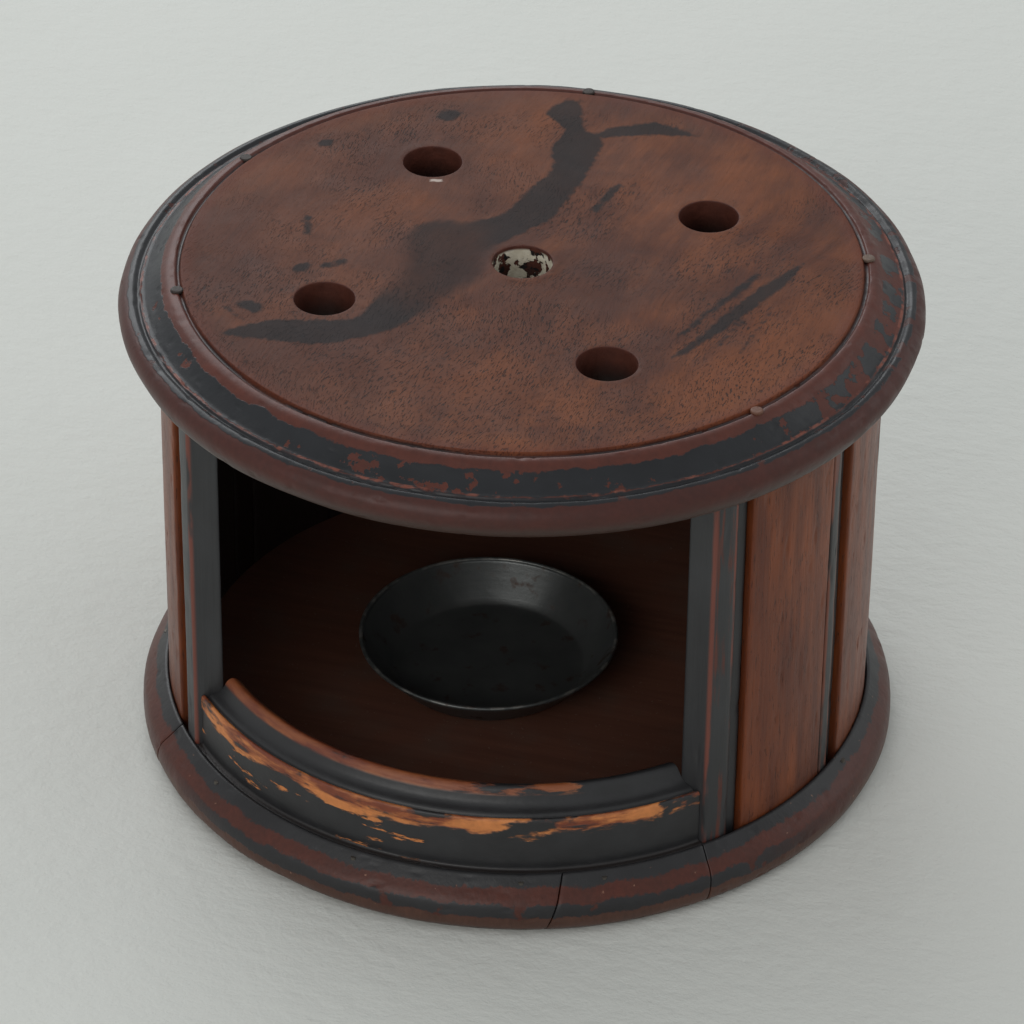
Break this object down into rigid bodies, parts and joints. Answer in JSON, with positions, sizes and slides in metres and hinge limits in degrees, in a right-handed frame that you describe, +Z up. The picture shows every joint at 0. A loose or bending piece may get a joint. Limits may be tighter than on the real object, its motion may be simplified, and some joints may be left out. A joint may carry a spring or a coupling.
{
  "type": "foot warmer",
  "caption": "Round wooden foot warmer with a moulded, pierced top, staved drum wall, open front with a worn sill, jointed base ring and a loose metal coal pan.",
  "frame": {"origin": "centre of the underside, on the surface it stands on", "axes": "+Z up; the open front faces -Y; +X is to the right when facing the open front"},
  "size_m": [0.24, 0.24, 0.1625],
  "materials": {
    "top_mahogany": "worn waxed mahogany with a dark scorch stain and ebonised mouldings",
    "panel_mahogany": "red-brown mahogany, satin",
    "stile_ebonised": "ebonised wood, satin, worn on the edges",
    "post_ebonised": "ebonised wood, satin, worn to red-brown on the strip",
    "sill_ebonised": "ebonised wood, worn to orange wood on the edges",
    "ring_ebonised": "ebonised wood worn to red-brown",
    "chamber_floor": "bare wood, darkened by smoke",
    "pan_iron": "dark oxidised sheet metal, satin",
    "pin_steel": "dull iron",
    "nail_iron": "dull iron"
  },
  "bodies": {
    "drum": {"base_pins": "pin_steel", "base_ring_back": "ring_ebonised", "base_ring_front_left": "ring_ebonised", "base_ring_front_right": "ring_ebonised", "base_ring_left": "ring_ebonised", "base_ring_right": "ring_ebonised", "bottom_board": "chamber_floor", "front_sill": "sill_ebonised", "post_left": "post_ebonised", "post_right": "post_ebonised", "top_board": "top_mahogany", "top_nail_1": "nail_iron", "top_nail_2": "nail_iron", "top_nail_3": "nail_iron", "top_nail_4": "nail_iron", "top_nail_5": "nail_iron", "wall_panel_01": "panel_mahogany", "wall_panel_02": "panel_mahogany", "wall_panel_03": "panel_mahogany", "wall_panel_04": "panel_mahogany", "wall_panel_05": "panel_mahogany", "wall_panel_06": "panel_mahogany", "wall_panel_07": "panel_mahogany", "wall_panel_08": "panel_mahogany", "wall_panel_09": "panel_mahogany", "wall_panel_10": "panel_mahogany", "wall_stile_01": "stile_ebonised", "wall_stile_02": "stile_ebonised", "wall_stile_03": "stile_ebonised", "wall_stile_04": "stile_ebonised", "wall_stile_05": "stile_ebonised", "wall_stile_06": "stile_ebonised", "wall_stile_07": "stile_ebonised", "wall_stile_08": "stile_ebonised", "wall_stile_09": "stile_ebonised"},
    "pan": {"coal_pan": "pan_iron"}
  },
  "joints": [
    {"name": "coal_pan_lift_out", "type": "slide", "parent": "drum", "child": "pan", "axis": [0, -0.866, 0.5], "range_m": [0, 0.19]}
  ]
}
